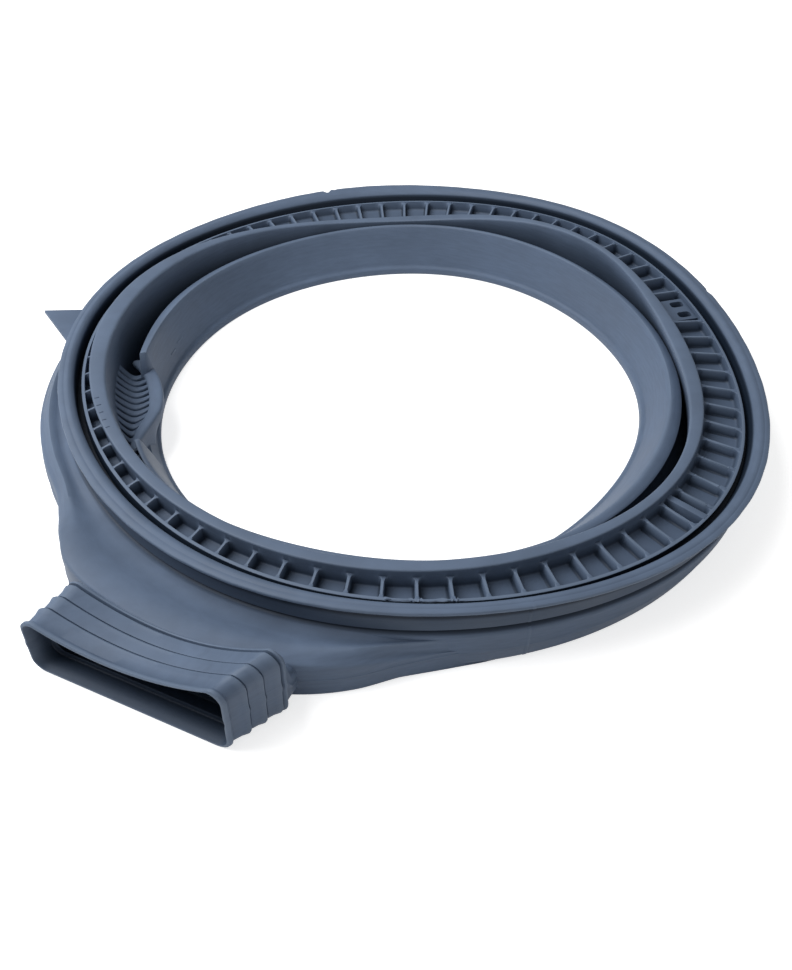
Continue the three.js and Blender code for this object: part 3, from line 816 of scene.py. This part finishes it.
def spline_outline(points, per_span):
    """A closed loop of points on a smooth curve through the given ones."""
    rows = np.array(points, float)
    count = len(rows)
    found = []
    for i in range(count):
        p = rows[[(i - 1) % count, i, (i + 1) % count, (i + 2) % count]]
        found += [between(p, k / per_span) for k in range(per_span)]
    return found


def chamber():
    inner = CAVITY_OUTER + BODY_WALL / 4
    top = CHAMBER_TOP
    parting = BASE + PARTING_HEIGHT
    rings = []
    for angle, beyond, drop in smooth_stations(CHAMBER_STATIONS, CHAMBER_STEPS):
        reach = max(BODY_RADIUS + beyond, inner + 0.8)
        start = min(BODY_RADIUS - CHAMBER_LEAN, reach - 0.4)
        corner = min(CHAMBER_LEAN, (reach - start) / 4)
        full = min(1, (reach - start) / CHAMBER_WALL / 3)
        profile = [
            (inner, top),
            (start, top),
            (mix(start, reach, 0.3), mix(top, -drop, 0.3) - CHAMBER_VALLEY * full),
            (mix(start, reach, 0.65), mix(top, -drop, 0.4) + CHAMBER_CROWN * full),
            (reach - corner, -drop),
            (reach, -drop - corner),
            (reach, mix(-drop, parting, 0.7)),
            (reach + 0.1, parting + 0.5),
            (reach + 0.3, parting),
            (reach - 0.5, parting - 0.5),
            (reach - 0.7, BASE + corner + 1),
            (reach - corner, BASE),
            (inner, BASE),
        ]
        outline = [(max(r, inner), max(z, BASE)) for r, z in spline_outline(profile, 3)]
        rings.append([on_ring(angle, r, min(z, top) if r < start + 0.4 else z) for r, z in outline])
    piece = skinned("air_chamber", rings, cap_first=True, cap_last=True)
    return laid_in_frame(piece)


# Bellows duct

OUTWARD = Vector((math.cos(math.radians(DUCT_FACING)), math.sin(math.radians(DUCT_FACING)), 0))
ALONG_MOUTH = Vector((-OUTWARD.y, OUTWARD.x, 0))


def duct_outline(depth, swell):
    """Points round the duct, across and up, at a depth behind its mouth."""
    rear = LAST_RIDGE + 1.0
    back = min(1, max(0, depth / rear))
    root = min(1, max(0, (depth - rear) / ROOT_RUN))
    left = mix(mix(MOUTH_HEIGHTS[0], REAR_HEIGHTS[0], back), ROOT_HEIGHT, root)
    right = mix(mix(MOUTH_HEIGHTS[1], REAR_HEIGHTS[1], back), ROOT_HEIGHT, root)
    sag = mix(mix(MOUTH_SAG, REAR_SAG, back), ROOT_SAG, root)
    half = mix(MOUTH_WIDTH, REAR_WIDTH, back) / 2 + swell
    offset = mix(MOUTH_OFFSET, REAR_OFFSET, back)
    floor = BASE + max(0.0, RIDGE_RISE - swell)
    rounding = DUCT_CORNER + swell * 0.6
    flat = half - rounding
    points = []

    def arc(cx, cy, start):
        for k in range(ARC_STEPS + 1):
            turn = math.radians(start + 90 * k / ARC_STEPS)
            points.append((cx + rounding * math.cos(turn), cy + rounding * math.sin(turn)))

    def side(x, low, high):
        for k in range(1, SIDE_STEPS):
            proud = PARTING_RIDGE if k == SIDE_STEPS // 2 else 0
            points.append((x + math.copysign(proud, x), mix(low, high, k / SIDE_STEPS)))

    for k in range(1, FLOOR_STEPS):
        points.append((mix(-flat, flat, k / FLOOR_STEPS), floor))
    arc(flat, floor + rounding, -90)
    level = BASE + RIDGE_RISE + swell
    side(half, floor + rounding, level + right - rounding)
    arc(flat, level + right - rounding, 0)
    for k in range(1, TOP_STEPS):
        t = 1 - k / TOP_STEPS
        across = mix(-1, 1, t)
        points.append((across * flat, level + mix(left, right, t) - sag * (1 - across * across)))
    arc(-flat, level + left - rounding, 90)
    side(-half, level + left - rounding, floor + rounding)
    arc(-flat, floor + rounding, 180)
    return [(x + offset, y) for x, y in points]


def bellows_stations():
    """Depth and swell: a beaded rim, broad panels parted by sharp creases, a last thin ridge."""
    stations = [
        (0.12, RIDGE_RISE - 0.7), (0.6, RIDGE_RISE), (1.8, RIDGE_RISE),
        (2.4, RIDGE_RISE - 0.5), (3.2, 0.7),
    ]
    for place in RIDGE_PLACES:
        stations += [
            (place - 3.4, 1.1), (place - 1.0, RIDGE_RISE), (place - 0.4, RIDGE_RISE - 0.3),
            (place - 0.1, CREASE_SWELL), (place + 0.25, CREASE_SWELL),
            (place + 0.6, 0.7), (place + 1.4, 0.9),
        ]
    last = LAST_RIDGE
    return stations[:-2] + [
        (last - 0.6, RIDGE_RISE - 0.2), (last, RIDGE_RISE), (last + 0.6, RIDGE_RISE - 0.4),
        (last + 1.0, CREASE_SWELL), (last + 1.5, CREASE_SWELL), (last + 2.4, 0),
        (last + 6, 0), (DUCT_LENGTH, 0),
    ]


def duct():
    """The bellows over its inner wall, open at the mouth; what lies inside gets painted shade,
    darker further in.
    """
    outer = bellows_stations()
    throat = RIDGE_RISE - MOUTH_WALL
    inner = [(depth, swell - MOUTH_WALL) for depth, swell in outer[4:-1]]
    rim = [(0.12, RIDGE_RISE - 1.3), (0.5, throat + 0.2), (1.0, throat)]
    stations = outer[::-1] + rim + inner + [(DUCT_LENGTH + 6, -MOUTH_WALL)]
    rings = []
    for depth, swell in stations:
        middle = OUTWARD * (DUCT_REACH - depth)
        outline = duct_outline(depth, swell)
        rings.append([middle + ALONG_MOUTH * x + Vector((0, 0, y)) for x, y in outline])
    piece = skinned("bellows_duct", rings, cap_last=True)

    def key(point):
        return tuple(round(c, 2) for c in point)

    inside = {key(point) for points in rings[len(outer) + 1:] for point in points}
    is_inside = [key(point) in inside for point in coordinates(piece)]
    # Painted shade inside the duct, darker further in from the mouth
    sunk = DUCT_REACH - coordinates(piece) @ np.array(OUTWARD)
    shade = np.clip(sunk / DUCT_SHADE_RUN, 0, 1) * (1 - DUCT_SHADE) + DUCT_SHADE
    return laid_in_frame(piece, np.where(is_inside, shade, 0))


# Pointer tab

def tab():
    deselect_all()
    bpy.ops.mesh.primitive_plane_add(size=1)
    piece = bpy.context.object
    piece.name = "pointer_tab"
    bpy.ops.object.mode_set(mode="EDIT")
    mesh = bmesh.from_edit_mesh(piece.data)
    root = FLANGE_RADIUS - TAB_OVERLAP
    corners = [
        on_ring(TAB_ROOT_ANGLES[0], root, -TAB_DROP),
        on_ring(TAB_TIP_ANGLE, FLANGE_RADIUS + TAB_REACH, -TAB_DROP),
        on_ring(TAB_ROOT_ANGLES[1], root, -TAB_DROP),
        on_ring(sum(TAB_ROOT_ANGLES) / 2, root - TAB_OVERLAP, -TAB_DROP),
    ]
    face = list(mesh.faces)[0]
    for vert, corner in zip(face.verts, corners):
        vert.co = corner
    bpy.ops.mesh.extrude_region_move(TRANSFORM_OT_translate={"value": (0, 0, -TAB_THICKNESS)})
    bpy.ops.mesh.select_all(action="SELECT")
    bpy.ops.mesh.normals_make_consistent(inside=False)
    bpy.ops.mesh.bevel(offset=TAB_ROUNDING, segments=2, affect="EDGES")
    close_up()
    return laid_in_frame(piece)


# Air grille: slats over the fold, and the leaf plate that carries their inner ends

def grille_width(angle):
    fine = np.array(smooth_stations(GRILLE_STATIONS, 80))
    return float(np.interp(angle, fine[:, 0], fine[:, 1]))


def slat_end(angle):
    """Radius where a slat meets the leaf plate."""
    return min(HUMP_INNER - grille_width(angle) + LEAF_START, HUMP_INNER - 2.0)


def slats():
    """One bar on a unit path, copied, and each copy laid from the hump to the leaf plate."""
    section = spline_outline(SLAT_SECTION, 2)
    rings = [[Vector((k / SLAT_ROWS, u, v)) for u, v in section] for k in range(SLAT_ROWS + 1)]
    first = skinned("grille_slat_1", rings, cap_first=True, cap_last=True)
    unit = coordinates(first)
    places, heights, widths = np.array(smooth_stations(SLAT_PROFILE, 24)).T
    found = []
    for i in range(SLAT_COUNT):
        piece = first
        if i:
            make_active(first)
            bpy.ops.object.duplicate(linked=False)
            piece = bpy.context.object
            piece.name = "grille_slat_%d" % (i + 1)
        angle = SLAT_FIRST + i * SLAT_PITCH
        outer = HUMP_INNER + 1.0
        inner = slat_end(angle) - 1.5
        share = unit[:, 0]
        radius = mix(outer, inner, share)
        level = np.interp(share, places, heights) + unit[:, 2] * SLAT_DEPTH
        along = unit[:, 1] * np.interp(share, places, widths)
        turn = math.radians(angle) + along / radius
        laid = np.stack([radius * np.cos(turn), radius * np.sin(turn), level], axis=1)
        set_coordinates(piece, laid)
        found.append(piece)
    return [laid_in_frame(piece, plain=True) for piece in found]


def leaf_plate():
    """Smooth plate beyond the slats: a crest, and a face down to the sleeve's foot."""
    first, last = GRILLE_STATIONS[0][0], GRILLE_STATIONS[-1][0]
    rings = []
    for angle in np.linspace(first - 0.6, last + 0.6, 64):
        inside = min(max(angle, first), last)
        reach = HUMP_INNER - grille_width(inside)
        start = slat_end(inside)
        foot = max(reach + 1.0, SLEEVE_FOOT_INNER + 0.8)
        profile = [
            (start, LEAF_LEVEL - 0.9),
            (mix(start, reach, 0.6), LEAF_LEVEL),
            (reach + 0.8, LEAF_LEVEL - 0.3),
            (reach, LEAF_LEVEL - 1.6),
            (reach + 0.2, LEAF_LEVEL - 5),
            (mix(reach, foot, 0.6), LEAF_WAIST),
            (foot, LEAF_FOOT),
            (foot + LEAF_WALL, LEAF_FOOT),
            (mix(reach, foot, 0.6) + LEAF_WALL, LEAF_WAIST + 0.5),
            (reach + LEAF_WALL, LEAF_LEVEL - 5),
            (mix(start, reach, 0.5) + 0.6, LEAF_LEVEL - LEAF_THICKNESS),
            (start + 0.2, LEAF_LEVEL - LEAF_THICKNESS),
        ]
        rings.append([on_ring(angle, r, z) for r, z in spline_outline(profile, 3)])
    piece = skinned("grille_leaf", rings, cap_first=True, cap_last=True)
    return laid_in_frame(piece, plain=True)


def grille_posts():
    """Short posts across the fold below the grille."""
    return [
        laid_in_frame(block("grille_post_%d" % i, angle, radius, size, level, POST_ROUNDING))
        for i, (angle, radius, size, level) in enumerate(GRILLE_POSTS, start=1)
    ]


def ticks():
    """A row of short marks across the hump."""
    first, pitch, count = TICKS
    middle = (HUMP_OUTER + HUMP_INNER) / 2 + 1.4
    level = HUMP_RISE + TICK_STAND
    return [
        laid_in_frame(block("tick_%d" % (i + 1), first + i * pitch, middle, TICK_SIZE, level, 0.2))
        for i in range(count)
    ]


def sleeve_bars():
    """Low raised bars on the sleeve's inner face."""
    found = []
    for i, (angle, height, along) in enumerate(SLEEVE_BARS, start=1):
        share = (height - BASE - LIP_HEIGHT) / (BODY_DEPTH - LIP_HEIGHT - RIM_DROP)
        radius = mix(SLEEVE_FOOT_INNER, RIM_INNER, share) + 0.3
        piece = block("sleeve_bar_%d" % i, angle, radius, (1.4, along, 1.8), height, 0.4)
        found.append(laid_in_frame(piece))
    return found


# Materials

def mark_edge_wear_and_painted_light(piece):
    """Stores on the mesh how convex it is at each vertex: edges near 1, hollows near 0. The rubber
    paints convex edges paler, as worn edges and as a painted highlight, and paints shade into the
    hollows.
    """
    mesh = piece.data
    co = coordinates(piece)
    normal = np.zeros(len(co) * 3)
    mesh.vertex_normals.foreach_get("vector", normal)
    normal = normal.reshape(-1, 3)
    ends = np.zeros(len(mesh.edges) * 2, int)
    mesh.edges.foreach_get("vertices", ends)
    a, b = ends.reshape(-1, 2).T
    along = co[b] - co[a]
    along /= np.maximum(np.linalg.norm(along, axis=1, keepdims=True), 1e-9)
    bend, count = np.zeros(len(co)), np.zeros(len(co))
    np.add.at(bend, a, -(along * normal[a]).sum(axis=1))
    np.add.at(bend, b, (along * normal[b]).sum(axis=1))
    np.add.at(count, a, 1)
    np.add.at(count, b, 1)
    bend /= np.maximum(count, 1)
    for _ in range(2):
        spread = np.zeros(len(co))
        np.add.at(spread, a, bend[b])
        np.add.at(spread, b, bend[a])
        bend = 0.5 * bend + 0.5 * spread / np.maximum(count, 1)
    amount = BEND_STRENGTH if len(co) > SMALL_PIECE_POINTS else SMALL_PIECE_BEND_STRENGTH
    edge_wear_and_painted_light = np.clip(0.5 + bend * amount, 0, 1)
    attribute = mesh.attributes.new("edge_wear_and_painted_light", "FLOAT", "POINT")
    attribute.data.foreach_set("value", edge_wear_and_painted_light.astype(np.float32))


class Nodes:
    """Adds shader nodes by type, sets their values and joins their sockets."""

    def __init__(self, tree):
        self.tree = tree

    def add(self, kind, settings=None, **inputs):
        node = self.tree.nodes.new(kind)
        for name, value in (settings or {}).items():
            setattr(node, name, value)
        for name, value in inputs.items():
            socket = node.inputs[name.replace("_", " ")]
            if isinstance(value, bpy.types.NodeSocket):
                self.tree.links.new(value, socket)
            else:
                socket.default_value = value
        return node

    def ramp(self, value, stops):
        node = self.add("ShaderNodeValToRGB", None, Fac=value)
        stripe = node.color_ramp
        while len(stripe.elements) < len(stops):
            stripe.elements.new(0.5)
        for element, (place, shade) in zip(stripe.elements, stops):
            element.position = place
            element.color = (shade, shade, shade, 1)
        return node.outputs["Color"]

    def blend(self, mode, amount, a, b):
        node = self.tree.nodes.new("ShaderNodeMix")
        node.data_type = "RGBA"
        node.blend_type = mode
        for socket, value in ((node.inputs[0], amount), (node.inputs[6], a), (node.inputs[7], b)):
            if isinstance(value, bpy.types.NodeSocket):
                self.tree.links.new(value, socket)
            else:
                socket.default_value = value
        return node.outputs[2]


def rubber():
    """Matt blue-grey rubber: flow clouds, fine grain, paler edges that are worn and also a painted
    highlight, painted shade in the creases and darker painted shade in the hollows.
    """
    material = bpy.data.materials.new("blue_grey_rubber")
    material.use_nodes = True
    tree = material.node_tree
    nodes = Nodes(tree)
    shader = tree.nodes["Principled BSDF"]
    place = nodes.add("ShaderNodeTexCoord").outputs["Object"]
    clouds = nodes.add(
        "ShaderNodeTexNoise", None, Vector=place, Scale=22.0, Detail=4.0, Roughness=0.55)
    grain = nodes.add("ShaderNodeTexNoise", None, Vector=place, Scale=1600.0, Detail=2.0)
    stretched = nodes.add("ShaderNodeMapping", None, Vector=place, Scale=(1.0, 1.0, 9.0))
    flow = nodes.add(
        "ShaderNodeTexNoise", None, Vector=stretched.outputs[0], Scale=90.0, Detail=3.0)
    edge_wear_and_painted_light = nodes.add("ShaderNodeAttribute", {"attribute_name": "edge_wear_and_painted_light"}).outputs["Fac"]
    cloud_shade = nodes.ramp(clouds.outputs[0], [(0.3, 0.40), (0.7, 0.60)])
    colour = nodes.blend("OVERLAY", 0.55, RUBBER_COLOUR, cloud_shade)
    flow_shade = nodes.ramp(flow.outputs[0], [(0.35, 0.46), (0.65, 0.54)])
    colour = nodes.blend("OVERLAY", 0.6, colour, flow_shade)
    # Convex edges paler: partly worn, partly a painted highlight
    edges = nodes.ramp(edge_wear_and_painted_light, [(0.56, 0.0), (0.80, 0.5)])
    colour = nodes.blend("MIX", edges, colour, EDGE_WEAR_AND_HIGHLIGHT_COLOUR)
    # Painted shade in concave creases
    hollows = nodes.ramp(edge_wear_and_painted_light, [(0.22, 0.4), (0.46, 0.0)])
    colour = nodes.blend("MIX", hollows, colour, PAINTED_CREASE_SHADE_COLOUR)
    # Painted shade from the stored amounts: slit, cells, fold, neck and inside the duct
    painted_shade_amount = nodes.add("ShaderNodeAttribute", {"attribute_name": "painted_shade_amount"}).outputs["Fac"]
    colour = nodes.blend("MIX", painted_shade_amount, colour, PAINTED_DEEP_SHADE_COLOUR)
    tree.links.new(colour, shader.inputs["Base Color"])
    gloss = nodes.ramp(clouds.outputs[0], [(0.3, 0.52), (0.7, 0.68)])
    tree.links.new(gloss, shader.inputs["Roughness"])
    shader.inputs["Specular IOR Level"].default_value = 0.35
    heights = nodes.add("ShaderNodeMath", {"operation": "MULTIPLY_ADD"})
    tree.links.new(flow.outputs[0], heights.inputs[0])
    heights.inputs[1].default_value = 2.0
    tree.links.new(grain.outputs[0], heights.inputs[2])
    relief = nodes.add(
        "ShaderNodeBump", None, Strength=0.25, Distance=0.00012, Height=heights.outputs[0])
    tree.links.new(relief.outputs[0], shader.inputs["Normal"])
    return material


def painted(piece, material):
    piece.data.materials.clear()
    piece.data.materials.append(material)


# Surroundings

def white_floor():
    """A pale floor that the camera sees as white, and that keeps the seal's soft shadow."""
    deselect_all()
    bpy.ops.mesh.primitive_plane_add(size=FLOOR_SIZE)
    floor = bpy.context.object
    floor.name = "floor"
    material = bpy.data.materials.new("white_floor")
    material.use_nodes = True
    tree = material.node_tree
    shader = tree.nodes["Principled BSDF"]
    shader.inputs["Base Color"].default_value = FLOOR_COLOUR
    shader.inputs["Roughness"].default_value = 0.9
    shader.inputs["Emission Color"].default_value = (1, 1, 1, 1)
    rays = tree.nodes.new("ShaderNodeLightPath")
    seen = rays.outputs["Is Camera Ray"]
    for kind in ("Is Glossy Ray", "Is Transmission Ray"):
        either = tree.nodes.new("ShaderNodeMath")
        either.operation = "MAXIMUM"
        tree.links.new(seen, either.inputs[0])
        tree.links.new(rays.outputs[kind], either.inputs[1])
        seen = either.outputs[0]
    lift = tree.nodes.new("ShaderNodeMath")
    lift.operation = "MULTIPLY"
    tree.links.new(seen, lift.inputs[0])
    lift.inputs[1].default_value = FLOOR_LIFT
    tree.links.new(lift.outputs[0], shader.inputs["Emission Strength"])
    floor.data.materials.append(material)


def soft_light(name, place, size, power):
    """A square lamp that faces the origin."""
    light = bpy.data.lights.new(name, "AREA")
    light.shape = "SQUARE"
    light.size = size
    light.energy = power
    lamp = bpy.data.objects.new(name, light)
    bpy.context.scene.collection.objects.link(lamp)
    lamp.location = place
    lamp.rotation_mode = "QUATERNION"
    lamp.rotation_quaternion = (-Vector(place)).to_track_quat("-Z", "Y")


def studio():
    world = bpy.data.worlds.new("studio")
    world.use_nodes = True
    background = world.node_tree.nodes["Background"]
    background.inputs["Color"].default_value = (1, 1, 1, 1)
    background.inputs["Strength"].default_value = WORLD_STRENGTH
    bpy.context.scene.world = world
    soft_light("key", KEY_PLACE, KEY_SIZE, KEY_POWER)


def photo_camera():
    data = bpy.data.cameras.new("photo_camera")
    data.sensor_width = SENSOR
    data.lens = FOCAL_PIXELS / IMAGE_LONG_SIDE * SENSOR
    camera = bpy.data.objects.new("photo_camera", data)
    bpy.context.scene.collection.objects.link(camera)
    camera.location = CAMERA_PLACE * MM
    camera.rotation_mode = "QUATERNION"
    aim = (CAMERA_TARGET - CAMERA_PLACE).to_track_quat("-Z", "Y")
    camera.rotation_quaternion = aim @ Quaternion((0, 0, 1), math.radians(CAMERA_LEAN))
    data.clip_start = 0.01
    data.clip_end = 20
    bpy.context.scene.camera = camera


grey_rubber = rubber()
pieces = [ring(), thick_rib(), drain_block(), chamber(), duct(), tab(), leaf_plate()]
pieces += slats() + grille_posts() + ticks() + sleeve_bars()
for piece in pieces:
    mark_edge_wear_and_painted_light(piece)
    painted(piece, grey_rubber)
    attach(piece, "root")
    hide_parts("door_seal")

white_floor()
studio()
photo_camera()
bpy.context.scene.view_settings.view_transform = "Standard"

deselect_all()
